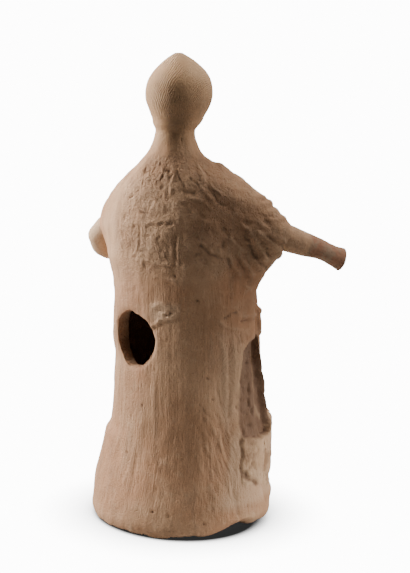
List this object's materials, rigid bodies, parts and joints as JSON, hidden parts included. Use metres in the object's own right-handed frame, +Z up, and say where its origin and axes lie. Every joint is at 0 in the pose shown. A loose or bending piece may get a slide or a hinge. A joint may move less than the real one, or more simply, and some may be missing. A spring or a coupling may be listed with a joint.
{
  "type": "terracotta female statue",
  "caption": "Hollow fired-clay statue of a standing draped woman with a peaked head, an outstretched broken forearm and a round vent through its plain back",
  "frame": {"origin": "centre of the overall box, on the plane that the foot's rim stands on", "axes": "+Z up the figure, -Y the way she faces, +X to her left"},
  "size_m": [0.4236, 0.3354, 0.8],
  "materials": {
    "terracotta": "matte fired clay, buff to tan, with soil staining"
  },
  "bodies": {
    "root": {"terracotta_figure": "terracotta"}
  },
  "joints": []
}
